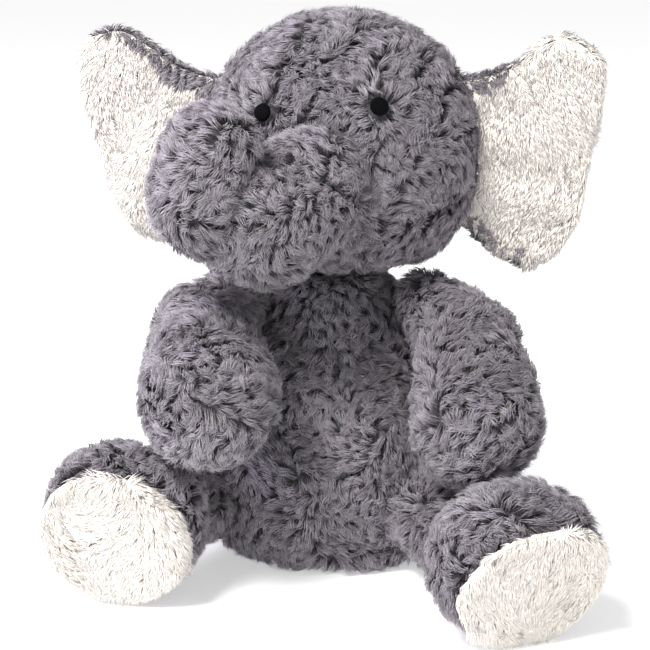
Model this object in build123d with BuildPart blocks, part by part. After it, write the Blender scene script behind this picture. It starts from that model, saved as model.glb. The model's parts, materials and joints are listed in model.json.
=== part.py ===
"""Seated long-pile plush elephant, built from sewn covers, stuffing, eyes and a bean bag.

Units are millimetres. +Z is up, the elephant faces -Y and its own left side is +X. The origin
is the centre of the flat seat that it rests on. Every cover is modelled as thick as its pile.
"""

import math
import os

from build123d import *

# ---- Driving dimensions ----
COVER = 8.0             # cover with its pile, measured from the stuffing outwards
GAP = 0.5               # clearance between two bodies that move on each other

SEAT_RADIUS = 72.0
SEAT_THICKNESS = 3.0
TORSO_TOP = 170.5
TORSO_PROFILE = ((84.0, 32.0), (76.0, 80.0), (60.0, 118.0), (45.0, 148.0))  # radius, height
TORSO_TOP_RADIUS = 30.0

BEAN_BAG_RADIUS = 38.0
BEAN_BAG_HEIGHT = 20.0
BEAN_BAG_ROUND = 8.0

LABEL_SIZE = (18.0, 0.8, 24.0)
LABEL_HEIGHT = 10.0     # height of the label's lower edge above the floor
LABEL_REACH = 89.0      # distance of the label's middle from the torso's axis
LABEL_ANGLE = 50.0      # around the back, from the elephant's left side

NECK_PIVOT = (0.0, 0.0, 192.0)
NECK_RADIUS = 40.0

HEAD_CENTRE = (3.5, 0.0, 246.0)
HEAD_CROWN = 75.5       # height of the crown above the head's centre
HEAD_PROFILE = (        # radius and height above the head's centre, from the crown down
    (24.0, 73.0),
    (43.5, 65.0),
    (59.5, 52.5),
    (71.5, 36.0),
    (79.0, 16.0),
    (81.5, -6.0),
    (80.0, -28.0),
    (74.0, -47.0),
    (62.0, -63.0),
    (47.0, -72.0),
)
GUSSET_HALF_WIDTH = 20.0

EYE_RADIUS = 5.5
EYE_DEPTH = 5.0
EYES = {"left": (36.0, -67.5, 274.0), "right": (-29.0, -70.0, 269.5)}

TRUNK_ROOT = (-2.0, -76.0, 229.5)
TRUNK_KNEE = (-20.0, -101.0, 211.5)
TRUNK_BEND = (-49.0, -124.0, 231.0)
TRUNK_TIP = (-46.0, -120.0, 253.0)
TRUNK_RADII = (36.0, 35.5, 33.0, 30.0)     # at the four points above

EAR_THICKNESS = 14.0
EAR_PLANE = 5.0         # depth of the middle of the ear along Y
EAR_ROOT_GAP = 3.5      # between the ear's root and the head
EAR_UPPER_OUTLINE = (   # sideways distance and height, from the top of the root outwards
    (62.0, 290.0),
    (104.0, 294.0),
    (132.0, 310.0),
    (151.0, 300.0),
    (153.0, 256.0),
)
EAR_LOWER_OUTLINE = {   # the right ear's lower lobe is tucked in behind the trunk
    "left": ((147.0, 212.0), (129.0, 178.0), (107.0, 171.0), (86.0, 190.0), (60.0, 206.0)),
    "right": ((142.0, 214.0), (121.0, 184.0), (103.0, 178.0), (85.0, 192.0), (60.0, 206.0)),
}

TAIL_ROOT = (0.0, 83.0, 42.0)
TAIL_TIP = (0.0, 114.0, 29.0)
TAIL_RADIUS = 5.5
TAIL_BALL = 7.0
TUFT_LENGTH = 22.0
TUFT_RADIUS = 9.0

# Each limb is posed by hand, so the two sides differ. Arms run shoulder, elbow, hand.
ARMS = {
    "right": {
        "points": ((-54.0, -17.0, 151.0), (-68.0, -54.0, 139.0), (-47.5, -131.0, 121.0)),
        "radii": (22.0, 31.0, 40.0),
    },
    "left": {
        "points": ((57.0, -14.0, 151.0), (85.0, -46.0, 136.0), (95.5, -93.0, 104.0)),
        "radii": (22.0, 30.5, 38.5),
    },
}
ELBOW_STEP = 0.6        # the forearm starts this much thicker than the upper arm ends

LEGS = {
    "right": {
        "hip": (-66.0, -36.0, 36.0),
        "ankle": (-96.0, -112.0, 33.0),
        "foot": (-99.0, -120.0, 46.0),
        "turn": -4.0,
        "tilt": -10.0,
        "roll": 0.0,
    },
    "left": {
        "hip": (58.0, -48.0, 36.0),
        "ankle": (116.0, -139.0, 33.0),
        "foot": (122.0, -148.0, 46.0),
        "turn": 24.0,
        "tilt": -21.0,
        "roll": 9.0,
    },
}
HIP_RADIUS = 30.0
THIGH_RADII = (27.0, 25.5)
FOOT_RADIUS = 44.0
FOOT_SPREAD = 5.5       # the foot is a round bar this long to each side of its centre
SOLE_OFFSET = 19.5      # from the foot's centre forward to the sole's seam
PAD_THICKNESS = 7.0
PAD_ROUND = 5.0


# ---- Helpers ----
def vector_between(start, end):
    return Vector(*end) - Vector(*start)


def limb_link(start, end, start_radius, end_radius):
    """A tapered round link: two balls and the cone that touches both."""
    along = vector_between(start, end)
    length = along.length
    tilt = math.asin((start_radius - end_radius) / length)
    half_back = (math.pi / 2 + tilt) / 2
    half_front = (math.pi / 2 - tilt) / 2
    start_touch = (start_radius * math.sin(tilt), start_radius * math.cos(tilt))
    end_touch = (length + end_radius * math.sin(tilt), end_radius * math.cos(tilt))
    start_middle = (-start_radius * math.cos(half_back), start_radius * math.sin(half_back))
    end_middle = (length + end_radius * math.cos(half_front), end_radius * math.sin(half_front))
    side = along.cross(Vector(0, 0, 1))
    if side.length < 1.0:
        side = Vector(1, 0, 0)
    with BuildPart() as link:
        with BuildSketch(Plane(origin=start, x_dir=along, z_dir=side)):
            with BuildLine():
                ThreePointArc((-start_radius, 0), start_middle, start_touch)
                Line(start_touch, end_touch)
                ThreePointArc(end_touch, end_middle, (length + end_radius, 0))
                Line((length + end_radius, 0), (-start_radius, 0))
            make_face()
        revolve(axis=Axis(start, along))
    return link.part


def ball(centre, radius, seam=(1, 0, 0)):
    """A ball whose surface seam faces the way that seam points, clear of what it cuts."""
    with BuildPart(Plane(origin=centre, x_dir=seam)) as sphere:
        Sphere(radius)
    return sphere.part


def joined(*forms):
    with BuildPart() as whole:
        for form in forms:
            add(form)
    return whole.part


def save(builder, label):
    """Name the finished piece and write it."""
    builder.part.label = label
    export_step(builder.part, f"parts/{label}.step")


def export_cover_half(label, skin, core, cutters, plane, keep):
    """One sewn panel: the side of the cover that lies on one side of its seam plane."""
    with BuildPart() as panel:
        add(skin)
        add(core, mode=Mode.SUBTRACT)
        for cutter in cutters:
            add(cutter, mode=Mode.SUBTRACT)
        split(bisect_by=plane, keep=keep)
    save(panel, label)


def export_stuffing(label, core, cutters=()):
    with BuildPart() as stuffing:
        add(core)
        for cutter in cutters:
            add(cutter, mode=Mode.SUBTRACT)
    save(stuffing, label)


# ---- Whole forms, before they are cut into panels ----
def torso_form(inset):
    """The pear-shaped torso on its flat seat, drawn in by inset all round."""
    seat = SEAT_THICKNESS if inset else 0.0
    top = TORSO_TOP - inset
    with BuildPart() as torso:
        with BuildSketch(Plane.YZ):
            with BuildLine():
                side = [(SEAT_RADIUS - inset, seat)]
                side += [(radius - inset, height) for radius, height in TORSO_PROFILE]
                side += [(TORSO_TOP_RADIUS - inset, top)]
                Spline(*side)
                Polyline(side[-1], (0, top), (0, seat), side[0])
            make_face()
        revolve(axis=Axis.Z)
    return torso.part


def neck_form(inset):
    """A ball with a flat underside that turns on top of the torso."""
    floor = TORSO_TOP + GAP + inset
    with BuildPart() as neck:
        with BuildSketch(Plane.XZ):
            with Locations((0, NECK_PIVOT[2])):
                Circle(NECK_RADIUS - inset)
            split(bisect_by=Plane.YZ, keep=Keep.TOP)
        revolve(axis=Axis.Z)
        split(bisect_by=Plane.XY.offset(floor), keep=Keep.TOP)
    return neck.part


def chain_form(points, radii, inset, steps):
    """Tapered links end to end; steps keeps the balls of two links apart at each bend."""
    links = []
    for place, (start, end) in enumerate(zip(points, points[1:])):
        start_radius = radii[place] - inset + (steps if place else 0.0)
        links.append(limb_link(start, end, start_radius, radii[place + 1] - inset))
    return joined(*links)


def head_form(inset):
    """The round head with full cheeks and a flat underside, drawn in by inset all round."""
    side = [(0.0, HEAD_CROWN - inset)]
    for radius, height in HEAD_PROFILE:
        shrink = 1 - inset / math.hypot(radius, height)
        side.append((radius * shrink, height * shrink))
    with BuildPart() as head:
        with BuildSketch(Plane(origin=HEAD_CENTRE, x_dir=(0, 1, 0), z_dir=(1, 0, 0))):
            with BuildLine():
                Spline(*side, tangents=((1, 0), (-1, -0.4)))
                Polyline(side[-1], (0, side[-1][1]), side[0])
            make_face()
        revolve(axis=Axis(HEAD_CENTRE, (0, 0, 1)))
    return head.part


def sole_plane(leg):
    """A plane through the foot's centre, square to the way its sole looks."""
    turn = math.radians(leg["turn"])
    tilt = math.radians(leg["tilt"])
    looks = (math.sin(turn) * math.cos(tilt), -math.cos(turn) * math.cos(tilt), math.sin(tilt))
    level = Plane(origin=leg["foot"], x_dir=(math.cos(turn), math.sin(turn), 0), z_dir=looks)
    return level.rotated((0, 0, leg["roll"]))


def arm_form(arm, inset):
    return chain_form(arm["points"], arm["radii"], inset, ELBOW_STEP)


def hip_socket(leg):
    """The room that a hip and thigh need in the torso."""
    outward = (leg["hip"][0], leg["hip"][1], 0)
    thigh_radii = [radius + GAP for radius in THIGH_RADII]
    socket = ball(leg["hip"], HIP_RADIUS + GAP, outward)
    return joined(socket, limb_link(leg["hip"], leg["ankle"], *thigh_radii))


def leg_form(leg, inset):
    """Hip ball, thigh and broad foot, with the foot cut flat where the pad is sewn on."""
    plane = sole_plane(leg)
    inner = plane.from_local_coords((-FOOT_SPREAD, 0, 0))
    outer = plane.from_local_coords((FOOT_SPREAD, 0, 0))
    with BuildPart() as whole:
        add(ball(leg["hip"], HIP_RADIUS - inset, (leg["hip"][0], 0, 0)))
        add(limb_link(leg["hip"], leg["ankle"], THIGH_RADII[0] - inset, THIGH_RADII[1] - inset))
        add(limb_link(tuple(inner), tuple(outer), FOOT_RADIUS - inset, FOOT_RADIUS - inset))
        split(bisect_by=plane.offset(SOLE_OFFSET), keep=Keep.BOTTOM)
    return whole.part


# ---- Torso ----
def make_torso():
    skin = torso_form(0.0)
    core = torso_form(COVER)
    cutters = [arm_form(arm, -GAP) for arm in ARMS.values()]
    cutters += [hip_socket(leg) for leg in LEGS.values()]
    cutters.append(ball(TAIL_ROOT, TAIL_BALL + GAP))

    with BuildPart() as seat_panel:
        with BuildSketch(Plane.XY):
            Circle(SEAT_RADIUS - COVER)
        extrude(amount=SEAT_THICKNESS)
    save(seat_panel, "seat_panel")

    with BuildPart() as bean_bag:
        with BuildSketch(Plane.XY.offset(SEAT_THICKNESS)):
            Circle(BEAN_BAG_RADIUS)
        extrude(amount=BEAN_BAG_HEIGHT)
        fillet(bean_bag.edges().filter_by(GeomType.CIRCLE), BEAN_BAG_ROUND)
    save(bean_bag, "bean_bag")

    cutters_and_seat = [*cutters, seat_panel.part]
    export_cover_half("body_front_panel", skin, core, cutters_and_seat, Plane.XZ, Keep.TOP)
    export_cover_half("body_back_panel", skin, core, cutters_and_seat, Plane.XZ, Keep.BOTTOM)
    export_stuffing("body_stuffing", core, [*cutters, bean_bag.part])

    label_plane = Plane.XY.rotated((0, 0, LABEL_ANGLE)).offset(LABEL_HEIGHT)
    with BuildPart() as care_label:
        with BuildSketch(label_plane):
            with Locations((LABEL_REACH, 0)):
                Rectangle(LABEL_SIZE[0], LABEL_SIZE[1])
        extrude(amount=LABEL_SIZE[2])
        add(skin, mode=Mode.SUBTRACT)
    save(care_label, "care_label")


# ---- Neck ----
def make_neck():
    skin = neck_form(0.0)
    core = neck_form(COVER)
    with BuildPart() as neck_cover:
        add(skin)
        add(core, mode=Mode.SUBTRACT)
    save(neck_cover, "neck_cover")
    export_stuffing("neck_stuffing", core)


# ---- Head ----
def make_eye(side, surface):
    """An embroidered eye: a low round button of thread that stands on the stuffing's side."""
    outward = Vector(*surface) - Vector(*HEAD_CENTRE)
    with BuildPart(Plane(origin=surface, z_dir=outward)) as eye:
        Cylinder(EYE_RADIUS, EYE_DEPTH, align=(Align.CENTER, Align.CENTER, Align.MAX))
        fillet(eye.edges().filter_by(GeomType.CIRCLE).sort_by(SortBy.DISTANCE)[0:1], 1.0)
    save(eye, f"eye_{side}")
    return eye.part


def make_head():
    skin = head_form(0.0)
    core = head_form(COVER)
    trunk_base = chain_form((TRUNK_ROOT, TRUNK_KNEE), TRUNK_RADII, -GAP, 0.0)
    cutters = [ball(NECK_PIVOT, NECK_RADIUS + GAP), trunk_base]
    export_stuffing("head_stuffing", core, cutters)
    cutters += [make_eye(side, surface) for side, surface in EYES.items()]
    left_seam = Plane.YZ.offset(GUSSET_HALF_WIDTH)
    right_seam = Plane.YZ.offset(-GUSSET_HALF_WIDTH)
    export_cover_half("head_left_panel", skin, core, cutters, left_seam, Keep.TOP)
    export_cover_half("head_right_panel", skin, core, cutters, right_seam, Keep.BOTTOM)
    with BuildPart() as gusset:
        add(skin)
        add(core, mode=Mode.SUBTRACT)
        for cutter in cutters:
            add(cutter, mode=Mode.SUBTRACT)
        split(bisect_by=left_seam, keep=Keep.BOTTOM)
        split(bisect_by=right_seam, keep=Keep.TOP)
    # The trunk and neck openings part the strip into a crown piece and a short chin piece.
    for strip, name in zip(gusset.solids().sort_by(SortBy.VOLUME), ("chin", "crown")):
        with BuildPart() as head_strip:
            add(strip)
        save(head_strip, f"head_{name}_gusset")


# ---- Trunk ----
def make_trunk():
    points = (TRUNK_ROOT, TRUNK_KNEE, TRUNK_BEND, TRUNK_TIP)
    skin = chain_form(points, TRUNK_RADII, 0.0, -ELBOW_STEP)
    core = chain_form(points, TRUNK_RADII, COVER, -ELBOW_STEP)
    side_seam = Plane(origin=TRUNK_ROOT, x_dir=(-1, -1, 0), z_dir=(0, -0.5, 1))
    export_cover_half("trunk_upper_panel", skin, core, (), side_seam, Keep.TOP)
    export_cover_half("trunk_lower_panel", skin, core, (), side_seam, Keep.BOTTOM)
    export_stuffing("trunk_stuffing", core)


# ---- Ears ----
def make_ear(side, sign):
    """Two leaves of one outline: the back in body plush and the lining in white."""
    leaf = EAR_THICKNESS / 2
    outline = [(sign * out, height) for out, height in EAR_UPPER_OUTLINE + EAR_LOWER_OUTLINE[side]]
    for name, start in (("lining", EAR_PLANE - leaf), ("back", EAR_PLANE)):
        with BuildPart() as ear_leaf:
            with BuildSketch(Plane.XZ.offset(-start - leaf)):
                with BuildLine():
                    Spline(*outline)
                    Line(outline[-1], outline[0])
                make_face()
            extrude(amount=leaf)
            add(head_form(-EAR_ROOT_GAP), mode=Mode.SUBTRACT)
        save(ear_leaf, f"ear_{side}_{name}")


# ---- Arms ----
def make_arm(side, arm):
    skin = arm_form(arm, 0.0)
    core = arm_form(arm, COVER)
    shoulder, elbow, hand = (Vector(*point) for point in arm["points"])
    across = (elbow - shoulder).cross(hand - elbow)
    seam = Plane(origin=elbow, x_dir=hand - shoulder, z_dir=across.cross(hand - shoulder))
    export_cover_half(f"arm_{side}_outer_panel", skin, core, (), seam, Keep.TOP)
    export_cover_half(f"arm_{side}_inner_panel", skin, core, (), seam, Keep.BOTTOM)
    export_stuffing(f"arm_{side}_stuffing", core)


# ---- Legs ----
def make_leg(side, leg):
    skin = leg_form(leg, 0.0)
    core = leg_form(leg, COVER)
    hip = Vector(*leg["hip"])
    foot = Vector(*leg["foot"])
    seam = Plane(origin=hip, x_dir=foot - hip, z_dir=(foot - hip).cross(Vector(0, 0, 1)))
    export_cover_half(f"leg_{side}_front_panel", skin, core, (), seam, Keep.TOP)
    export_cover_half(f"leg_{side}_back_panel", skin, core, (), seam, Keep.BOTTOM)
    export_stuffing(f"leg_{side}_stuffing", core)
    seam_plane = sole_plane(leg).offset(SOLE_OFFSET)
    with BuildPart() as foot_pad:
        with BuildSketch(seam_plane):
            SlotCenterToCenter(2 * FOOT_SPREAD, 2 * math.sqrt(FOOT_RADIUS**2 - SOLE_OFFSET**2))
        extrude(amount=PAD_THICKNESS)
        front = foot_pad.faces().sort_by(Axis(seam_plane.origin, seam_plane.z_dir))[-1]
        fillet(front.edges(), PAD_ROUND)
    save(foot_pad, f"foot_pad_{side}")


# ---- Tail ----
def make_tail():
    with BuildPart() as tail_cover:
        add(ball(TAIL_ROOT, TAIL_BALL))
        add(limb_link(TAIL_ROOT, TAIL_TIP, TAIL_RADIUS, TAIL_RADIUS - 1))
    save(tail_cover, "tail_cover")
    along = vector_between(TAIL_ROOT, TAIL_TIP).normalized()
    tuft_end = Vector(*TAIL_TIP) + along * TUFT_LENGTH / 2
    with BuildPart() as tail_tuft:
        add(limb_link(TAIL_TIP, tuft_end, TUFT_RADIUS, TUFT_RADIUS - 3))
        add(tail_cover.part, mode=Mode.SUBTRACT)
    save(tail_tuft, "tail_tuft")


os.makedirs("parts", exist_ok=True)
make_torso()
make_neck()
make_head()
make_trunk()
for ear_side, ear_sign in (("left", 1), ("right", -1)):
    make_ear(ear_side, ear_sign)
for limb_side in ("left", "right"):
    make_arm(limb_side, ARMS[limb_side])
    make_leg(limb_side, LEGS[limb_side])
make_tail()
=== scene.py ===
"""The looks of the seated plush elephant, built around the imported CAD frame.

Each stuffed form gets a closed backing skin and a pile of tapered fibre strands that lean and
curl together in locks, as on tumbled long-pile plush. Everything is in metres.
"""

import json
import math

import bmesh
import bpy
import numpy as np
from mathutils import Matrix, Quaternion, Vector
from mathutils.bvhtree import BVHTree


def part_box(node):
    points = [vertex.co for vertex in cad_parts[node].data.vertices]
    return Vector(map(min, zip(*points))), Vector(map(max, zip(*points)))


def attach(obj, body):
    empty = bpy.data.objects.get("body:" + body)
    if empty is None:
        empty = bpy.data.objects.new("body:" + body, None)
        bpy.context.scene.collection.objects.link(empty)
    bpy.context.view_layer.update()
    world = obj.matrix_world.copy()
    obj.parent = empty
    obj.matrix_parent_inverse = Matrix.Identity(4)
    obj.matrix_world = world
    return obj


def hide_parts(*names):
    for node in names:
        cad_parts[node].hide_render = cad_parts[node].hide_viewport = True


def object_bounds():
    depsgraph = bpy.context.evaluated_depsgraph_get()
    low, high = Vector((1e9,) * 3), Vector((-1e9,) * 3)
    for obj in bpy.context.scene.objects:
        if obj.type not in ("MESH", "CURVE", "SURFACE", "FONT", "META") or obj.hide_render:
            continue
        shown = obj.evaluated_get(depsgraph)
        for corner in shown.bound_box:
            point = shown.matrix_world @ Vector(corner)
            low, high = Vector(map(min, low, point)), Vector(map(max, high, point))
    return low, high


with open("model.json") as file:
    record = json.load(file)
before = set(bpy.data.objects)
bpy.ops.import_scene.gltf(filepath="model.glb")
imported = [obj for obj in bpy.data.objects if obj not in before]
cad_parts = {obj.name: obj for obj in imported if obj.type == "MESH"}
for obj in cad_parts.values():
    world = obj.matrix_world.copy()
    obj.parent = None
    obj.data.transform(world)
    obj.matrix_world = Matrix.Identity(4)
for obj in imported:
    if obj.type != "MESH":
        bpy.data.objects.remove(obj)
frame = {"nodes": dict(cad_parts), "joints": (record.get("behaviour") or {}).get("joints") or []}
cad_low, cad_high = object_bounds()
NODES = frame["nodes"]
MM = 0.001

# ---- Camera: where the toy is seen from ----
CAMERA_AZIMUTH = math.radians(10)
CAMERA_HEIGHT_ANGLE = math.radians(14)
CAMERA_DISTANCE = 1.2
CAMERA_AIM_HEIGHT = 0.1325
CAMERA_LENS = 110.8
CAMERA_SHIFT = -0.017
CAMERA_CLIP_START = 0.05

# ---- Light ----
WORLD_STRENGTH = 0.48
FLOOR_HALF = 6.0                # half the side of the floor
FLOOR_TONE = 0.96
FLOOR_GLOW = 0.45               # keeps the floor pale where no lamp reaches
LAMP_SIZE = 0.6
KEY_PLACE = (-0.45, -1.15, 1.55)
KEY_WATTS = 42
KEY_COLOUR = (1, 0.98, 0.96)
RIM_PLACE = (-1.35, -0.35, 0.8)
RIM_WATTS = 14
RIM_COLOUR = (0.90, 0.88, 1)

# ---- Backing ----
BACKING_DEPTH = 6.5 * MM        # how far the backing lies under the CAD surface
TAIL_DEPTH = 2.2 * MM           # the same for the smaller and thinner forms
TUFT_DEPTH = 4 * MM
FOOT_PAD_DEPTH = 2.4 * MM
EAR_DEPTH = 3.6 * MM
LUMP_LENGTH = 34 * MM           # from one soft lump of the filling to the next
LUMP_HEIGHT = 0.9 * MM
SMOOTHING = {"factor": 0.5, "iterations": 8}
THICK_FILL = 0.7                # how firmly a padded form is filled, from 0 to 1
PAD_FILL = 0.5
EAR_FILL = 0.3
THIN_FILL = 0.6                 # forms filled no more than this are thin leaves

# ---- Pile ----
STRANDS_PER_MM2 = 1.25
FLOOR_CLEARANCE = 0.4 * MM      # no fibre goes lower than this
RINGS = (0.0, 0.5)              # where along a strand its rings of three corners are
CORNER_ANGLES = (math.pi / 2, math.pi * 7 / 6, math.pi * 11 / 6)
CHUNK = 4096                    # strands compared with all lock centres at a time
CELLS = 2500                    # places on a skin where the space above it is measured
BURIED_DEPTH = 2.5 * MM         # roots this far inside another thick skin carry no pile
BURIED_COSINE = 0.85            # if that skin's nearest point is this squarely above them
CREASE_LIFT = 1 * MM            # the space above a root is measured from this height
CREASE_REACH = 16 * MM          # forms farther apart than this leave the pile its full length
CREASE_CLOSED = 0.15            # with this little space the pile is at its shortest
CREASE_OPEN = 0.75              # and with this much it has its full length
LEAST_PILE = 0.35               # part of its length that pile keeps in the tightest crease
PIECE_STRANDS = 18000           # a bigger pile is stored as several pieces
SMALL_PILE_LOCKS = 8            # the fewest locks that any pile has

LOCK_LENGTHS = (-0.25, 0.2)     # spread of the locks' lengths, scaled by the pile's "uneven"
LOCK_RISES = (-0.3, 0.3)
STRAND_LENGTHS = (0.8, 1.12)    # spread of the strands in one lock
STRAND_RISES = (0.75, 1.2)
STRAND_WIDTHS = (0.7, 1.25)
REACH_CURVE = 1.25              # above 1, a strand leaves its root steeply and then lies over
RISE_CURVE = 2.2                # above 1, it gains its height near the root
CLUMP_CURVE = 1.1               # above 1, it closes up to its lock towards the tip
CURL_SPREAD = 0.10              # sideways bow of a lock, as part of its length
CURL_TURN = math.pi * 1.2
TAPER = 0.35                    # part of its width that a strand loses from root to tip
FLATNESS = 0.6                  # a strand's thickness as part of its width
LOCK_TONE = 0.6                 # how much of a strand's tone comes from its lock
UV_STRIP = 0.006                # width on the UV map of one side of a strand
UV_MARGIN = 0.01

GREY_PILE = {
    "length": 8.8 * MM,
    "rise": 5.2 * MM,
    "width": 0.74 * MM,
    "lock_area": 14.0,          # square millimetres of backing per lock
    "clump": 0.54,
    "droop": 0.35,
    "scatter": 0.6,             # radians between neighbouring locks
    "fray": 0.16,               # how far single strands stray from their lock's direction
    "uneven": 1.0,              # how much locks differ in length and height
    "swirl": 26 * MM,
}
WHITE_PILE = {
    "length": 8.0 * MM,
    "rise": 2.6 * MM,
    "width": 1.0 * MM,
    "lock_area": 24.0,
    "clump": 0.12,
    "droop": 1.4,
    "scatter": 0.12,
    "fray": 0.08,
    "uneven": 0.2,
    "swirl": 55 * MM,
}
TAIL_PILE = {**GREY_PILE, "length": 6 * MM, "rise": 2.6 * MM}
LINING_PILE = {**WHITE_PILE, "rise": 2.3 * MM, "clump": 0.04, "droop": 1.8}
EAR_BACK_PILE = {**GREY_PILE, "length": 6 * MM, "rise": 3.4 * MM}
TUFT_PILE = {**GREY_PILE, "length": 17 * MM, "rise": 3 * MM, "droop": 0.0, "scatter": 0.3}

FOOT_PAD_DENSITY = 1.2          # strands, as a multiple of the usual number
LINING_DENSITY = 1.3
EAR_BACK_DENSITY = 1.1
TUFT_DENSITY = 2.0
EAR_BACK_LEAN = 2.5             # how strongly the ear's back pile leans to the ear's middle
TUFT_LEAN = 6                   # how strongly the tuft's strands lean along the tail

SEAT_BARE_RADIUS = 52 * MM      # the middle of the seat's underside has no pile
UNDERSIDE_SLOPE = -0.7          # surfaces that face down more than this are the underside
NECK_PILE_TOP = 4 * MM          # above the neck's pivot the head covers the neck

EYE_RADIUS = 5.4 * MM
EYE_THREAD = 0.62 * MM          # from one satin stitch to the next
EYE_CROWN = 2.2 * MM            # how far the middle of the eye's dome stands out
EYE_LIFT = 1.8 * MM             # from the middle of the CAD eye to the middle of this one
EYE_CLEARING = 6.4 * MM         # no strand is rooted nearer to an eye's middle
EYE_PARTING = 14 * MM           # the pile parts within about this distance of an eye
EYE_PARTING_LEAN = 9            # how strongly it leans away from the eye
EYE_PAD_WIDTH = 0.96            # size of the pad under the stitches, as part of the eye's own
EYE_PAD_CROWN = 0.9
STITCH_RADIUS = 0.62 * EYE_THREAD       # neighbouring stitches press into each other
STITCH_LENGTHS = (0.96, 1.03)
STITCH_TILTS = (-0.05, 0.05)
STITCH_TIP = 0.02               # square of a stitch's size at its ends, as part of its middle's
STITCH_POINTS = 9
STITCH_SIDES = 6

FOLD_DEPTH = 5 * MM
FOLD_WIDTH = 4 * MM
FOLD_SPAN = 42 * MM             # a fold is pressed in no farther than this from its middle
ROOT_FOLD_OFFSET = (6 * MM, -22 * MM, 6 * MM)       # from the trunk's pivot
ROOT_FOLD_DIRECTION = (-0.25, -0.35, -0.9)
CURL_FOLD_OFFSET = (-2 * MM, -8 * MM, 4 * MM)       # from the middle of the trunk
CURL_FOLD_DIRECTION = (-0.9, -0.1, 0.35)

EAR_TUCK = 12 * MM              # how far the ear's root reaches into the head's pile
EAR_TUCK_SPAN = 26 * MM         # the tuck fades to nothing over this part of the ear's width
TOP_ROLL = (16 * MM, 0.5 * MM)  # width of the grey roll at the ear's root and near its tip
ROLL_ENDS = {"left": 0.45, "right": 0.9}            # part of the ear's width that it covers
BOTTOM_ROLL = 6 * MM
BOTTOM_ROLL_END = 0.5
ROLL_WAVE = 0.3                 # how unevenly the roll's edge runs
ROLL_WAVE_LENGTH = 20 * MM
EDGE_BIN = 2 * MM               # step across the ear in which its edges are measured
BACK_EDGE = 0.55                # the white pile reaches round the ear's edge up to this slope

LABEL_ROWS = 12                 # steps along each half of the ribbon
LABEL_COLUMNS = 6               # steps across it
LABEL_FOLD_STEPS = 4
LABEL_GAP = 0.35 * MM           # from the middle of the fold to each half
LABEL_WAVE = 0.8 * MM           # how far the ribbon bows to one side
LABEL_THICKNESS = 0.2 * MM


# ---- Materials ----
def new_material(name):
    material = bpy.data.materials.new(name)
    material.use_nodes = True
    return material, material.node_tree.nodes, material.node_tree.links


def pile_material(name, root, middle, tip, sheen, variety):
    """Fibre colour along each strand, darkened towards the root as painted shade, varied from
    lock to lock through the pile's own UV map.
    """
    material, nodes, links = new_material(name)
    shader = nodes["Principled BSDF"]
    uv = nodes.new("ShaderNodeUVMap")
    uv.uv_map = "OFBake"
    split = nodes.new("ShaderNodeSeparateXYZ")
    ramp = nodes.new("ShaderNodeValToRGB")
    # Painted shade: the ramp runs from a dark root, which stands in for the shade deep in the
    # pile, to a lighter tip.
    ramp.color_ramp.elements[0].color = (*root, 1)
    ramp.color_ramp.elements[1].color = (*tip, 1)
    ramp.color_ramp.elements.new(0.45).color = (*middle, 1)
    noise = nodes.new("ShaderNodeTexNoise")
    noise.inputs["Scale"].default_value = 9.0
    noise.inputs["Detail"].default_value = 3.0
    vary = nodes.new("ShaderNodeMapRange")
    vary.inputs["From Min"].default_value = 0.3
    vary.inputs["From Max"].default_value = 0.7
    vary.inputs["To Min"].default_value = 1 - variety
    vary.inputs["To Max"].default_value = 1 + variety
    tint = nodes.new("ShaderNodeVectorMath")
    tint.operation = "SCALE"
    links.new(uv.outputs["UV"], split.inputs["Vector"])
    links.new(split.outputs["Y"], ramp.inputs["Fac"])
    links.new(uv.outputs["UV"], noise.inputs["Vector"])
    links.new(noise.outputs["Fac"], vary.inputs["Value"])
    links.new(ramp.outputs["Color"], tint.inputs[0])
    links.new(vary.outputs["Result"], tint.inputs["Scale"])
    links.new(tint.outputs["Vector"], shader.inputs["Base Color"])
    shader.inputs["Roughness"].default_value = 0.55
    shader.inputs["Specular IOR Level"].default_value = 0.3
    shader.inputs["Sheen Weight"].default_value = sheen
    shader.inputs["Sheen Roughness"].default_value = 0.4
    return material


def cloth_material(name, dark, light, scale, roughness=0.9):
    """Woven or knitted backing: crossed fine bands with a slow change of tone."""
    material, nodes, links = new_material(name)
    shader = nodes["Principled BSDF"]
    place = nodes.new("ShaderNodeTexCoord")
    weave = nodes.new("ShaderNodeTexVoronoi")
    weave.inputs["Scale"].default_value = scale
    noise = nodes.new("ShaderNodeTexNoise")
    noise.inputs["Scale"].default_value = scale / 12
    mix = nodes.new("ShaderNodeMath")
    mix.operation = "MULTIPLY_ADD"
    mix.inputs[1].default_value = 0.5
    ramp = nodes.new("ShaderNodeValToRGB")
    ramp.color_ramp.elements[0].color = (*dark, 1)
    ramp.color_ramp.elements[1].color = (*light, 1)
    bump = nodes.new("ShaderNodeBump")
    bump.inputs["Strength"].default_value = 0.3
    bump.inputs["Distance"].default_value = 0.0003
    links.new(place.outputs["Object"], weave.inputs["Vector"])
    links.new(place.outputs["Object"], noise.inputs["Vector"])
    links.new(weave.outputs["Distance"], mix.inputs[0])
    links.new(noise.outputs["Fac"], mix.inputs[2])
    links.new(mix.outputs["Value"], ramp.inputs["Fac"])
    links.new(ramp.outputs["Color"], shader.inputs["Base Color"])
    links.new(weave.outputs["Distance"], bump.inputs["Height"])
    links.new(bump.outputs["Normal"], shader.inputs["Normal"])
    shader.inputs["Roughness"].default_value = roughness
    shader.inputs["Specular IOR Level"].default_value = 0.05
    return material


# Painted shade: each pile's root colour is darker than its tip, standing in for the shade deep
# in the pile.
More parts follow.
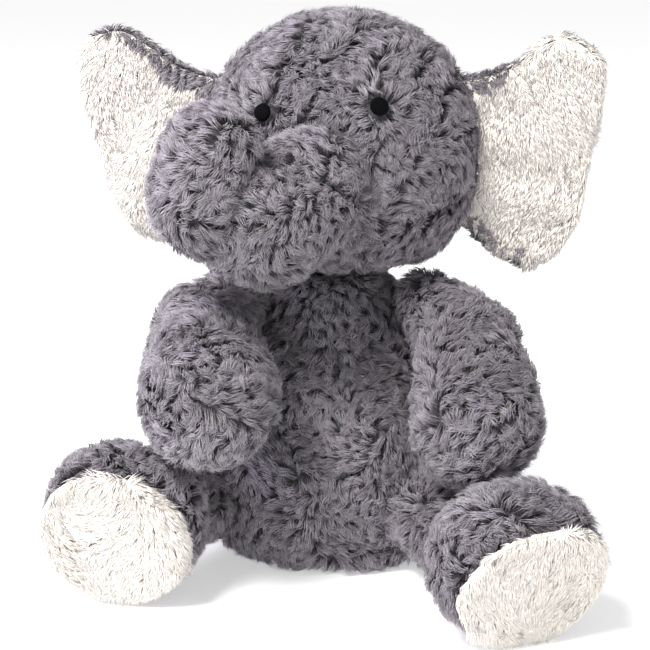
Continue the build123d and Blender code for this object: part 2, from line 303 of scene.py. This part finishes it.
GREY_FIBRE = pile_material(
    "grey_fibre", (0.06, 0.052, 0.062), (0.205, 0.185, 0.213), (0.46, 0.425, 0.48), 0.35, 0.26
)
WHITE_FIBRE = pile_material(
    "white_fibre", (0.94, 0.88, 0.82), (0.95, 0.90, 0.84), (0.97, 0.93, 0.88), 0.45, 0.02
)
GREY_BACKING = cloth_material("grey_backing", (0.03, 0.028, 0.035), (0.08, 0.075, 0.09), 900)
WHITE_BACKING = cloth_material("white_backing", (0.92, 0.87, 0.81), (0.96, 0.92, 0.87), 900)
THREAD = cloth_material("eye_thread", (0.001, 0.001, 0.0015), (0.004, 0.004, 0.005), 1500, 0.8)
FILLING = cloth_material("fibre_filling", (0.70, 0.70, 0.69), (0.88, 0.88, 0.87), 260)
BEAN_CLOTH = cloth_material("bean_cloth", (0.60, 0.55, 0.46), (0.75, 0.70, 0.60), 1400)
RIBBON = cloth_material("label_ribbon", (0.78, 0.78, 0.76), (0.93, 0.93, 0.91), 2200)


# ---- Mesh helpers ----
def dress(mesh, material):
    """Give a mesh this material alone."""
    mesh.materials.clear()
    mesh.materials.append(material)


def link_mesh(name, mesh, material):
    piece = bpy.data.objects.new(name, mesh)
    bpy.context.scene.collection.objects.link(piece)
    dress(mesh, material)
    return piece


def joined_copy(name, nodes, hull=False):
    """One mesh of several CAD nodes, or the convex form around them."""
    made = bmesh.new()
    for node in nodes:
        made.from_mesh(NODES[node].data)
    if hull:
        result = bmesh.ops.convex_hull(made, input=made.verts)
        spare = {e for e in result["geom_interior"] if isinstance(e, bmesh.types.BMVert)}
        bmesh.ops.delete(made, geom=list(spare), context="VERTS")
    mesh = bpy.data.meshes.new(name)
    made.to_mesh(mesh)
    made.free()
    return mesh


def settled(piece, modifiers):
    """Apply a list of (type, settings) modifiers to a piece."""
    for kind, settings in modifiers:
        modifier = piece.modifiers.new(kind.lower(), kind)
        for key, value in settings.items():
            setattr(modifier, key, value)
    graph = bpy.context.evaluated_depsgraph_get()
    mesh = bpy.data.meshes.new_from_object(piece.evaluated_get(graph))
    piece.modifiers.clear()
    old = piece.data
    piece.data = mesh
    bpy.data.meshes.remove(old)


def points_of(mesh):
    flat = np.empty(len(mesh.vertices) * 3, np.float32)
    mesh.vertices.foreach_get("co", flat)
    return flat.reshape(-1, 3).astype(float)


def normals_of(mesh):
    flat = np.empty(len(mesh.vertices) * 3, np.float32)
    mesh.vertex_normals.foreach_get("vector", flat)
    return flat.reshape(-1, 3).astype(float)


def triangles_of(mesh):
    mesh.calc_loop_triangles()
    flat = np.empty(len(mesh.loop_triangles) * 3, np.int32)
    mesh.loop_triangles.foreach_get("vertices", flat)
    return flat.reshape(-1, 3)


def write_points(mesh, points):
    mesh.vertices.foreach_set("co", points.astype(np.float32).ravel())
    mesh.update()


def unit(vectors):
    return vectors / np.maximum(np.linalg.norm(vectors, axis=-1, keepdims=True), 1e-12)


def waves(points, length, seed, count=7):
    """A smooth random vector field: a few sine waves about that length apart."""
    draw = np.random.default_rng(seed)
    field = np.zeros((len(points), 3))
    for _ in range(count):
        direction = unit(draw.normal(size=3))
        wave = 2 * math.pi / (length * draw.uniform(0.8, 2.0))
        phase = draw.uniform(0, 2 * math.pi)
        field += np.sin(points @ direction * wave + phase)[:, None] * draw.normal(size=3)
    return field / math.sqrt(count)


# ---- Skins: the closed backing of each stuffed form ----
SKINS = []
THICK_SKINS = []


def backing(
    name, body, nodes, depth, material, seed, hull=False, voxel=5 * MM, fill=THICK_FILL
):
    """A closed, slightly lumpy form a pile's depth under the CAD nodes' surface."""
    piece = link_mesh(name, joined_copy(name, nodes, hull), material)
    settled(
        piece,
        [
            ("REMESH", {"mode": "VOXEL", "voxel_size": voxel, "use_smooth_shade": True}),
            ("SMOOTH", SMOOTHING),
        ],
    )
    points = points_of(piece.data)
    lumps = waves(points, LUMP_LENGTH, seed)[:, :1] * LUMP_HEIGHT
    points += normals_of(piece.data) * (lumps - depth)
    points[:, 2] = np.maximum(points[:, 2], 2 * FLOOR_CLEARANCE)
    write_points(piece.data, points)
    dress(piece.data, material)
    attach(piece, body)
    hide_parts(*nodes)
    SKINS.append(piece)
    if fill > THIN_FILL:
        THICK_SKINS.append(piece)
    return piece


def skin_tree(skins):
    """One search tree over several skins."""
    points, triangles, count = [], [], 0
    for skin in skins:
        points.append(points_of(skin.data))
        triangles.append(triangles_of(skin.data) + count)
        count += len(points[-1])
    return BVHTree.FromPolygons(
        np.concatenate(points).tolist(), np.concatenate(triangles).tolist()
    )


def buried(tree, root):
    """Whether a root lies well inside one of the skins in the tree."""
    nearest, normal, _, distance = tree.find_nearest(root)
    behind = (nearest - root).dot(normal)
    return behind > BURIED_DEPTH and behind > BURIED_COSINE * distance


def room_above(tree, root, outward):
    """How open the space above a root is, from 0 in a tight crease to 1 in the open."""
    across = outward.orthogonal().normalized()
    rays = [outward]
    for turn in range(4):
        side = Quaternion(outward, turn * math.pi / 2) @ across
        rays.append((outward + side).normalized())
    total = 0
    for ray in rays:
        distance = tree.ray_cast(root + outward * CREASE_LIFT, ray, CREASE_REACH)[3]
        total += 1 if distance is None else distance / CREASE_REACH
    return total / len(rays)


# ---- Pile: strands on a skin ----
def nearest_index(points, centres):
    """For each point, the number of the centre nearest to it."""
    found = np.empty(len(points), np.int32)
    squares = (centres**2).sum(1)
    for start in range(0, len(points), CHUNK):
        part = points[start : start + CHUNK]
        found[start : start + CHUNK] = np.argmin(squares - 2 * part @ centres.T, axis=1)
    return found


def scatter_roots(mesh, density, draw):
    """Strand roots spread evenly over a mesh, with the surface's direction at each."""
    points = points_of(mesh)
    normals = normals_of(mesh)
    triangles = triangles_of(mesh)
    corners = points[triangles]
    areas = np.linalg.norm(
        np.cross(corners[:, 1] - corners[:, 0], corners[:, 2] - corners[:, 0]), axis=1
    ) / 2
    total = areas.sum()
    count = int(total / MM**2 * density)
    steps = (np.arange(count) + draw.random(count)) / count
    chosen = np.searchsorted(np.cumsum(areas) / total, steps).clip(0, len(areas) - 1)
    first = np.sqrt(draw.random(count))
    second = draw.random(count)
    weights = np.stack([1 - first, first * (1 - second), first * second], axis=1)
    roots = np.einsum("nk,nkc->nc", weights, corners[chosen])
    outward = unit(np.einsum("nk,nkc->nc", weights, normals[triangles[chosen]]))
    return roots, outward, total


def strand_lines(roots, outward, room, area, pile, draw, seed, lean=None):
    """Each strand's line: it rises off the backing, leans with its lock and closes up to it."""
    lock_count = max(SMALL_PILE_LOCKS, int(area / MM**2 / pile["lock_area"]))
    picked = np.linspace(0, len(roots) - 1, lock_count).astype(int)
    picked = np.clip(picked + draw.integers(-3, 4, lock_count), 0, len(roots) - 1)
    centres, centre_outward = roots[picked], outward[picked]
    lock = nearest_index(roots, centres)
    flow = waves(centres, pile["swirl"], seed + 1)
    flow[:, 2] -= pile["droop"]
    if lean is not None:
        flow += lean(centres)
    flow -= centre_outward * (flow * centre_outward).sum(1, keepdims=True)
    flow = unit(flow)
    side = np.cross(centre_outward, flow)
    turn = draw.normal(0, pile["scatter"], lock_count)[:, None]
    flow = flow * np.cos(turn) + side * np.sin(turn)
    lock_length = 1 + pile["uneven"] * draw.uniform(*LOCK_LENGTHS, lock_count)
    lock_rise = 1 + pile["uneven"] * draw.uniform(*LOCK_RISES, lock_count)

    along = flow[lock] + draw.normal(0, pile["fray"], (len(roots), 3))
    along -= outward * (along * outward).sum(1, keepdims=True)
    along = unit(along)
    across = np.cross(outward, along)
    length = room * pile["length"] * lock_length[lock]
    length = length * draw.uniform(*STRAND_LENGTHS, len(roots))
    rise = room * pile["rise"] * lock_rise[lock]
    rise = rise * draw.uniform(*STRAND_RISES, len(roots))
    offset = roots - centres[lock]
    curl = draw.normal(0, CURL_SPREAD, lock_count)[lock] * length
    lines = []
    for step in (*RINGS, 1.0):
        reach = (length * step**REACH_CURVE)[:, None] * along
        up = (rise * (1 - (1 - step) ** RISE_CURVE))[:, None] * outward
        bend = (curl * math.sin(step * CURL_TURN))[:, None] * across
        closing = offset * pile["clump"] * step**CLUMP_CURVE
        lines.append(roots + reach + up + bend - closing)
    lock_tones = draw.random(lock_count)[lock]
    tones = LOCK_TONE * lock_tones + (1 - LOCK_TONE) * draw.random(len(roots))
    return np.stack(lines, axis=1), across, tones


def strand_mesh(name, lines, across, tones, width, draw):
    """Closed, tapered three-sided strands along the lines, in one mesh."""
    count, rings = len(lines), len(RINGS)
    tangents = unit(np.gradient(lines, axis=1))[:, :rings]
    side = across[:, None, :] - tangents * (across[:, None, :] * tangents).sum(2, keepdims=True)
    side = unit(side)
    up = np.cross(tangents, side)
    radii = np.array([1.0 - TAPER * step for step in RINGS]) * width / 2
    radii = radii[None, :, None] * draw.uniform(*STRAND_WIDTHS, (count, 1, 1))
    corners = [
        lines[:, :rings] + radii * (side * math.cos(a) + FLATNESS * up * math.sin(a))
        for a in CORNER_ANGLES
    ]
    body = np.stack(corners, axis=2).reshape(count, rings * 3, 3)
    points = np.concatenate([body, lines[:, rings:]], axis=1)
    points[..., 2] = np.maximum(points[..., 2], FLOOR_CLEARANCE)
    per_strand = rings * 3 + 1

    pattern, sizes, map_u, map_v = [], [], [], []
    heights = (*RINGS, 1.0)
    for ring in range(rings - 1):
        for k in range(3):
            after = (k + 1) % 3
            low, high = ring * 3, ring * 3 + 3
            pattern += [low + k, low + after, high + after, high + k]
            map_u += [k, k + 1, k + 1, k]
            map_v += [heights[ring], heights[ring], heights[ring + 1], heights[ring + 1]]
            sizes.append(4)
    last = (rings - 1) * 3
    for k in range(3):
        pattern += [last + k, last + (k + 1) % 3, rings * 3]
        map_u += [k, k + 1, k + 0.5]
        map_v += [heights[-2], heights[-2], 1.0]
        sizes.append(3)
    pattern += [2, 1, 0]
    map_u += [0, 1, 2]
    map_v += [0.0, 0.02, 0.0]
    sizes.append(3)

    loops = (np.arange(count)[:, None] * per_strand + np.array(pattern)).ravel()
    totals = np.tile(sizes, count)
    starts = np.concatenate([[0], np.cumsum(totals)[:-1]])
    mesh = bpy.data.meshes.new(name)
    mesh.vertices.add(count * per_strand)
    mesh.vertices.foreach_set("co", points.astype(np.float32).ravel())
    mesh.loops.add(len(loops))
    mesh.loops.foreach_set("vertex_index", loops.astype(np.int32))
    mesh.polygons.add(len(totals))
    mesh.polygons.foreach_set("loop_start", starts.astype(np.int32))
    mesh.polygons.foreach_set("use_smooth", np.ones(len(totals), bool))
    mesh.update(calc_edges=True)
    layer = mesh.uv_layers.new(name="OFBake")
    u = tones[:, None] * (1 - 4 * UV_STRIP) + np.array(map_u) * UV_STRIP
    v = np.broadcast_to(UV_MARGIN + (1 - 2 * UV_MARGIN) * np.array(map_v), u.shape)
    layer.data.foreach_set("uv", np.stack([u, v], axis=2).astype(np.float32).ravel())
    return mesh


def panel_tree(node):
    """A search tree over one CAD node."""
    mesh = NODES[node].data
    return BVHTree.FromPolygons(points_of(mesh).tolist(), triangles_of(mesh).tolist())


def grow_pile(skin, body, parts, pile, material, slot, seed, keep=None, density=1.0, lean=None):
    """Cover a skin with strands, in pieces for each sewn panel in parts."""
    draw = np.random.default_rng(seed)
    roots, outward, area = scatter_roots(skin.data, STRANDS_PER_MM2 * density, draw)
    step = max(1, len(roots) // CELLS)
    cells, cell_outward = roots[::step], outward[::step]
    cell = nearest_index(roots, cells)
    others = skin_tree([other for other in THICK_SKINS if other != skin])
    everything = skin_tree(SKINS)
    hidden = np.array([buried(others, Vector(place)) for place in cells])
    room = np.array([
        room_above(everything, Vector(place), Vector(away))
        for place, away in zip(cells, cell_outward)
    ])
    room = np.clip((room - CREASE_CLOSED) / (CREASE_OPEN - CREASE_CLOSED), LEAST_PILE, 1)
    lines, across, tones = strand_lines(
        roots, outward, room[cell], area, pile, draw, seed, lean
    )
    kept = ~hidden[cell]
    if keep is not None:
        kept &= keep(lines, outward)
    trees = [panel_tree(part) for part in parts]
    gaps = [[tree.find_nearest(Vector(place))[3] for place in cells] for tree in trees]
    owner = np.argmin(np.array(gaps), axis=0)[cell]
    for index, part in enumerate(parts):
        mine = np.flatnonzero(kept & (owner == index))
        mine = mine[np.argsort(roots[mine, 2])]
        count = math.ceil(len(mine) / PIECE_STRANDS)
        for number, few in enumerate(np.array_split(mine, count), 1):
            name = f"{part}_pile_{number}"
            mesh = strand_mesh(name, lines[few], across[few], tones[few], pile["width"], draw)
            piece = link_mesh(name, mesh, material)
            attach(piece, body)


PLANNED = []


def plan_pile(*settings, **more):
    """Remember a pile, to be grown when every skin is there."""
    PLANNED.append((settings, more))


# ---- Places taken from the frame ----
def box_middle(node):
    low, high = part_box(node)
    return (low + high) / 2


JOINT_AT = {joint["name"]: np.array(joint["pos_m"]) for joint in frame["joints"]}
HEAD_MIDDLE = box_middle("head_stuffing")
SIDES = ("left", "right")


# ---- Torso ----
def make_torso():
    panels = ["body_front_panel", "body_back_panel"]
    skin = backing(
        "torso_skin", "torso", [*panels, "seat_panel"], BACKING_DEPTH, GREY_BACKING,
        11, hull=True,
    )
    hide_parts("body_stuffing", "bean_bag")
    plan_pile(
        skin, "torso", panels, GREY_PILE, GREY_FIBRE, "body_plush", 12,
        lambda lines, outward: (outward[:, 2] > UNDERSIDE_SLOPE) | (
            np.linalg.norm(lines[:, 0, :2], axis=1) > SEAT_BARE_RADIUS),
    )


# ---- Neck ----
def make_neck():
    skin = backing(
        "neck_skin", "neck", ["neck_cover"], BACKING_DEPTH, GREY_BACKING, 21,
        hull=True,
    )
    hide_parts("neck_stuffing")
    plan_pile(
        skin, "neck", ["neck_cover"], GREY_PILE, GREY_FIBRE, "body_plush", 22,
        lambda lines, outward: lines[:, 0, 2] < JOINT_AT["head_nod"][2] + NECK_PILE_TOP,
    )


# ---- Head ----
def make_head():
    panels = ["head_left_panel", "head_right_panel", "head_crown_gusset", "head_chin_gusset"]
    skin = backing(
        "head_skin", "head", panels, BACKING_DEPTH, GREY_BACKING, 31, hull=True
    )
    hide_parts("head_stuffing")
    eyes = [np.array(box_middle(f"eye_{side}")) for side in SIDES]

    def part_round_eyes(centres):
        """The pile near an eye leans away from it."""
        away = np.zeros_like(centres)
        for eye in eyes:
            offset = centres - eye
            near = np.exp(-((offset / EYE_PARTING) ** 2).sum(1, keepdims=True))
            away += EYE_PARTING_LEAN * near * unit(offset)
        return away

    plan_pile(
        skin, "head", panels, GREY_PILE, GREY_FIBRE, "body_plush", 32,
        lambda lines, outward: np.all([
            np.linalg.norm(lines[:, 0] - eye, axis=1) > EYE_CLEARING for eye in eyes
        ], axis=0),
        lean=part_round_eyes,
    )


# ---- Eyes ----
def stitch(made, middles, outward, sideways, sizes):
    """One satin stitch: a closed thread along a line of points."""
    rings = []
    for middle, size in zip(middles, sizes):
        rings.append([
            made.verts.new(middle + (sideways * math.cos(a) + outward * math.sin(a)) * size)
            for a in np.linspace(0, 2 * math.pi, STITCH_SIDES + 1)[:-1]
        ])
    for first, second in zip(rings, rings[1:]):
        for k in range(STITCH_SIDES):
            after = (k + 1) % STITCH_SIDES
            made.faces.new((first[k], first[after], second[after], second[k]))
    made.faces.new(rings[0][::-1])
    made.faces.new(rings[-1])


def make_eye(side):
    """Satin stitches side by side over a low round pad that stands level with the pile."""
    centre = box_middle(f"eye_{side}")
    outward = (centre - HEAD_MIDDLE).normalized()
    centre = centre + outward * EYE_LIFT
    sideways = Vector((0, 0, 1)).cross(outward).normalized()
    upward = outward.cross(sideways)
    draw = np.random.default_rng(7 + SIDES.index(side))
    made = bmesh.new()
    bmesh.ops.create_uvsphere(made, u_segments=32, v_segments=16, radius=1.0)
    pad = Matrix((
        sideways * EYE_RADIUS * EYE_PAD_WIDTH,
        upward * EYE_RADIUS * EYE_PAD_WIDTH,
        outward * EYE_CROWN * EYE_PAD_CROWN,
    )).transposed().to_4x4()
    bmesh.ops.transform(made, matrix=Matrix.Translation(centre) @ pad, verts=made.verts)
    steps = np.linspace(-1, 1, STITCH_POINTS)
    for row in range(int(2 * EYE_RADIUS / EYE_THREAD)):
        x = (row + 0.5) * EYE_THREAD - EYE_RADIUS
        half = math.sqrt(max(EYE_RADIUS**2 - x**2, 0)) * draw.uniform(*STITCH_LENGTHS)
        tilt = draw.uniform(*STITCH_TILTS)
        ridge = 1 - (x / EYE_RADIUS) ** 2
        middles = []
        for step in steps:
            dome = math.sqrt(max(ridge * (1 - step**2), 0))
            middles.append(
                centre + sideways * (x + tilt * half * step) + upward * half * step
                + outward * EYE_CROWN * dome
            )
        sizes = [STITCH_RADIUS * math.sqrt(max(1 - step**4, STITCH_TIP)) for step in steps]
        stitch(made, middles, outward, sideways, sizes)
    bmesh.ops.recalc_face_normals(made, faces=made.faces)
    mesh = bpy.data.meshes.new(f"eye_{side}_stitches")
    made.to_mesh(mesh)
    made.free()
    mesh.shade_smooth()
    piece = link_mesh(f"eye_{side}_stitches", mesh, THREAD)
    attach(piece, "head")
    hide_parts(f"eye_{side}")


# ---- Trunk, arms, legs and tail ----
def make_limb(name, panels, seed, pile=GREY_PILE, voxel=5 * MM, depth=BACKING_DEPTH):
    """A stuffed limb: its panels and stuffing under one skin."""
    inside = [f"{name}_stuffing"] if f"{name}_stuffing" in NODES else []
    skin = backing(
        f"{name}_skin", name, [*panels, *inside], depth, GREY_BACKING, seed,
        voxel=voxel,
    )
    plan_pile(skin, name, panels, pile, GREY_FIBRE, "body_plush", seed + 1)
    return skin


def press_folds(skin, folds):
    """Press a groove into a skin where each plane, given by a point and a direction, cuts it."""
    points = points_of(skin.data)
    inward = -normals_of(skin.data)
    for place, direction in folds:
        offset = (points - place) @ unit(direction)
        near = np.linalg.norm(points - place, axis=1) < FOLD_SPAN
        points += inward * (FOLD_DEPTH * np.exp(-((offset / FOLD_WIDTH) ** 2)) * near)[:, None]
    write_points(skin.data, points)


def make_trunk():
    """The trunk, with folds pressed in where it leaves the head and where it curls up."""
    root, tip = JOINT_AT["trunk_bend"], box_middle("trunk_upper_panel")
    skin = make_limb("trunk", ["trunk_upper_panel", "trunk_lower_panel"], 41, voxel=3.5 * MM)
    folds = [
        (root + np.array(ROOT_FOLD_OFFSET), np.array(ROOT_FOLD_DIRECTION)),
        (np.array(tip) + np.array(CURL_FOLD_OFFSET), np.array(CURL_FOLD_DIRECTION)),
    ]
    press_folds(skin, folds)


def make_tail():
    """A thin tail with short pile and a tuft of long strands at its end."""
    make_limb("tail", ["tail_cover"], 91, pile=TAIL_PILE, voxel=2 * MM, depth=TAIL_DEPTH)
    along = unit(np.array(box_middle("tail_tuft")) - JOINT_AT["tail_wag"])
    skin = backing(
        "tail_tuft_skin", "tail", ["tail_tuft"], TUFT_DEPTH, GREY_BACKING, 93,
        voxel=1.5 * MM, fill=PAD_FILL,
    )
    plan_pile(
        skin, "tail", ["tail_tuft"], TUFT_PILE, GREY_FIBRE, "body_plush", 94,
        density=TUFT_DENSITY, lean=lambda centres: TUFT_LEAN * along,
    )


def make_foot_pad(side, seed):
    node = f"foot_pad_{side}"
    skin = backing(
        f"{node}_skin", f"leg_{side}", [node], FOOT_PAD_DEPTH, WHITE_BACKING,
        seed, voxel=2.5 * MM, fill=PAD_FILL,
    )
    plan_pile(
        skin, f"leg_{side}", [node], WHITE_PILE, WHITE_FIBRE, "white_plush", seed + 1,
        density=FOOT_PAD_DENSITY,
    )


# ---- Ears ----
def edge_heights(points, top):
    """The height of the ear's upper or lower edge above each point's place across it."""
    place = np.abs(points[:, 0])
    bins = ((place - place.min()) / EDGE_BIN).astype(int)
    order = np.maximum if top else np.minimum
    edge = np.full(bins.max() + 1, -np.inf if top else np.inf)
    order.at(edge, bins, points[:, 2])
    return edge[bins]


def make_ear(side, seed):
    """One stuffed leaf: white pile in front, body pile behind that rolls over its edges."""
    back, lining = f"ear_{side}_back", f"ear_{side}_lining"
    skin = backing(
        f"ear_{side}_skin", f"ear_{side}", [back, lining], EAR_DEPTH, WHITE_BACKING,
        seed, voxel=3 * MM, fill=EAR_FILL,
    )
    points = points_of(skin.data)
    span = np.abs(points[:, 0])
    near_root = np.clip(1 - (span - span.min()) / EAR_TUCK_SPAN, 0, 1)
    points[:, 0] -= np.sign(points[:, 0]) * near_root * EAR_TUCK
    write_points(skin.data, points)
    middle = points.mean(axis=0)

    def in_front(lines, outward):
        """Whether each strand belongs to the white lining."""
        roots = lines[:, 0]
        reach = np.abs(roots[:, 0])
        reach = (reach - reach.min()) / (reach.max() - reach.min())
        roll = TOP_ROLL[0] + (TOP_ROLL[1] - TOP_ROLL[0]) * np.clip(reach / ROLL_ENDS[side], 0, 1)
        wave = 1 + ROLL_WAVE * waves(roots, ROLL_WAVE_LENGTH, seed)[:, 0]
        top = edge_heights(roots, True) - roots[:, 2] < roll * wave
        low = roots[:, 2] - edge_heights(roots, False) < BOTTOM_ROLL * wave
        low &= reach < BOTTOM_ROLL_END
        return (outward[:, 1] < BACK_EDGE) & ~top & ~low

    plan_pile(
        skin, f"ear_{side}", [lining], LINING_PILE, WHITE_FIBRE, "white_plush", seed + 1,
        in_front, density=LINING_DENSITY,
    )
    plan_pile(
        skin, f"ear_{side}", [back], EAR_BACK_PILE, GREY_FIBRE, "body_plush", seed + 2,
        lambda lines, outward: ~in_front(lines, outward), density=EAR_BACK_DENSITY,
        lean=lambda centres: EAR_BACK_LEAN * unit(middle - centres),
    )


# ---- Label ----
def make_label():
    """A blank ribbon folded in half, sewn in by its two ends."""
    low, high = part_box("care_label")
    start = Vector((low.x, low.y, 0))
    end = Vector((high.x, high.y, 0))
    along = (end - start).normalized()
    across = Vector((-along.y, along.x, 0))
    reach = (end - start).length
    height = high.z - low.z
    line = []
    for step in range(LABEL_ROWS + 1):
        line.append((reach * step / LABEL_ROWS, LABEL_GAP))
    for step in range(1, LABEL_FOLD_STEPS):
        angle = math.pi / 2 - math.pi * step / LABEL_FOLD_STEPS
        line.append((reach + LABEL_GAP * math.cos(angle), LABEL_GAP * math.sin(angle)))
    for step in range(LABEL_ROWS, -1, -1):
        line.append((reach * step / LABEL_ROWS, -LABEL_GAP))
    made = bmesh.new()
    columns = []
    for out, aside in line:
        wave = LABEL_WAVE * math.sin(out / reach * math.pi)
        base = start + along * out + across * (aside + wave)
        columns.append([
            made.verts.new(base + Vector((0, 0, low.z + height * k / LABEL_COLUMNS)))
            for k in range(LABEL_COLUMNS + 1)
        ])
    for first, second in zip(columns, columns[1:]):
        for k in range(LABEL_COLUMNS):
            made.faces.new((first[k], second[k], second[k + 1], first[k + 1]))
    mesh = bpy.data.meshes.new("care_label_ribbon")
    made.to_mesh(mesh)
    made.free()
    piece = link_mesh("care_label_ribbon", mesh, RIBBON)
    settled(piece, [("SOLIDIFY", {"thickness": LABEL_THICKNESS, "offset": 0.0})])
    dress(piece.data, RIBBON)
    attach(piece, "torso")
    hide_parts("care_label")


# ---- What stays inside ----
def finish_inside():
    for name, node in NODES.items():
        if name.endswith("stuffing"):
            dress(node.data, FILLING)
    dress(NODES["bean_bag"].data, BEAN_CLOTH)


# ---- Studio ----
def area_light(name, place, aim, watts, colour):
    lamp = bpy.data.lights.new(name, "AREA")
    lamp.shape = "DISK"
    lamp.size = LAMP_SIZE
    lamp.energy = watts
    lamp.color = colour
    light = bpy.data.objects.new(name, lamp)
    light.location = place
    light.rotation_euler = (Vector(aim) - Vector(place)).to_track_quat("-Z", "Y").to_euler()
    bpy.context.scene.collection.objects.link(light)


def make_studio():
    """A pale floor and world, a key lamp before the toy and a weaker one at its right."""
    world = bpy.data.worlds.new("studio")
    world.use_nodes = True
    surround = world.node_tree.nodes["Background"].inputs
    surround["Color"].default_value = (1, 1, 1, 1)
    surround["Strength"].default_value = WORLD_STRENGTH
    bpy.context.scene.world = world
    made = bmesh.new()
    bmesh.ops.create_grid(made, x_segments=8, y_segments=8, size=FLOOR_HALF)
    mesh = bpy.data.meshes.new("floor")
    made.to_mesh(mesh)
    made.free()
    material, nodes, _ = new_material("pale_floor")
    shader = nodes["Principled BSDF"].inputs
    shader["Base Color"].default_value = (FLOOR_TONE, FLOOR_TONE, FLOOR_TONE, 1)
    shader["Roughness"].default_value = 0.9
    shader["Emission Color"].default_value = (1, 1, 1, 1)
    shader["Emission Strength"].default_value = FLOOR_GLOW
    link_mesh("floor", mesh, material)
    middle = (0, 0, (cad_low[2] + cad_high[2]) / 2)
    area_light("key", KEY_PLACE, middle, KEY_WATTS, KEY_COLOUR)
    area_light("rim", RIM_PLACE, middle, RIM_WATTS, RIM_COLOUR)
    bpy.context.scene.view_settings.view_transform = "Standard"


def make_camera():
    data = bpy.data.cameras.new("camera")
    data.lens = CAMERA_LENS
    data.shift_x = CAMERA_SHIFT
    data.clip_start = CAMERA_CLIP_START
    camera = bpy.data.objects.new("camera", data)
    toward = Vector((
        math.sin(CAMERA_AZIMUTH) * math.cos(CAMERA_HEIGHT_ANGLE),
        -math.cos(CAMERA_AZIMUTH) * math.cos(CAMERA_HEIGHT_ANGLE),
        math.sin(CAMERA_HEIGHT_ANGLE),
    ))
    camera.location = Vector((0, 0, CAMERA_AIM_HEIGHT)) + toward * CAMERA_DISTANCE
    camera.rotation_euler = (-toward).to_track_quat("-Z", "Y").to_euler()
    bpy.context.scene.collection.objects.link(camera)
    bpy.context.scene.camera = camera


# The whole numbers that the calls here and above pass on are seeds, one for each form.
make_camera()
make_studio()
make_torso()
make_neck()
make_head()
for eye_side in SIDES:
    make_eye(eye_side)
make_trunk()
for number, side_name in enumerate(SIDES):
    arm, leg = f"arm_{side_name}", f"leg_{side_name}"
    make_limb(arm, [f"{arm}_outer_panel", f"{arm}_inner_panel"], 51 + 4 * number)
    make_limb(leg, [f"{leg}_front_panel", f"{leg}_back_panel"], 61 + 4 * number)
    make_foot_pad(side_name, 71 + 4 * number)
    make_ear(side_name, 81 + 4 * number)
make_tail()
make_label()
finish_inside()
for pile_settings, pile_options in PLANNED:
    grow_pile(*pile_settings, **pile_options)
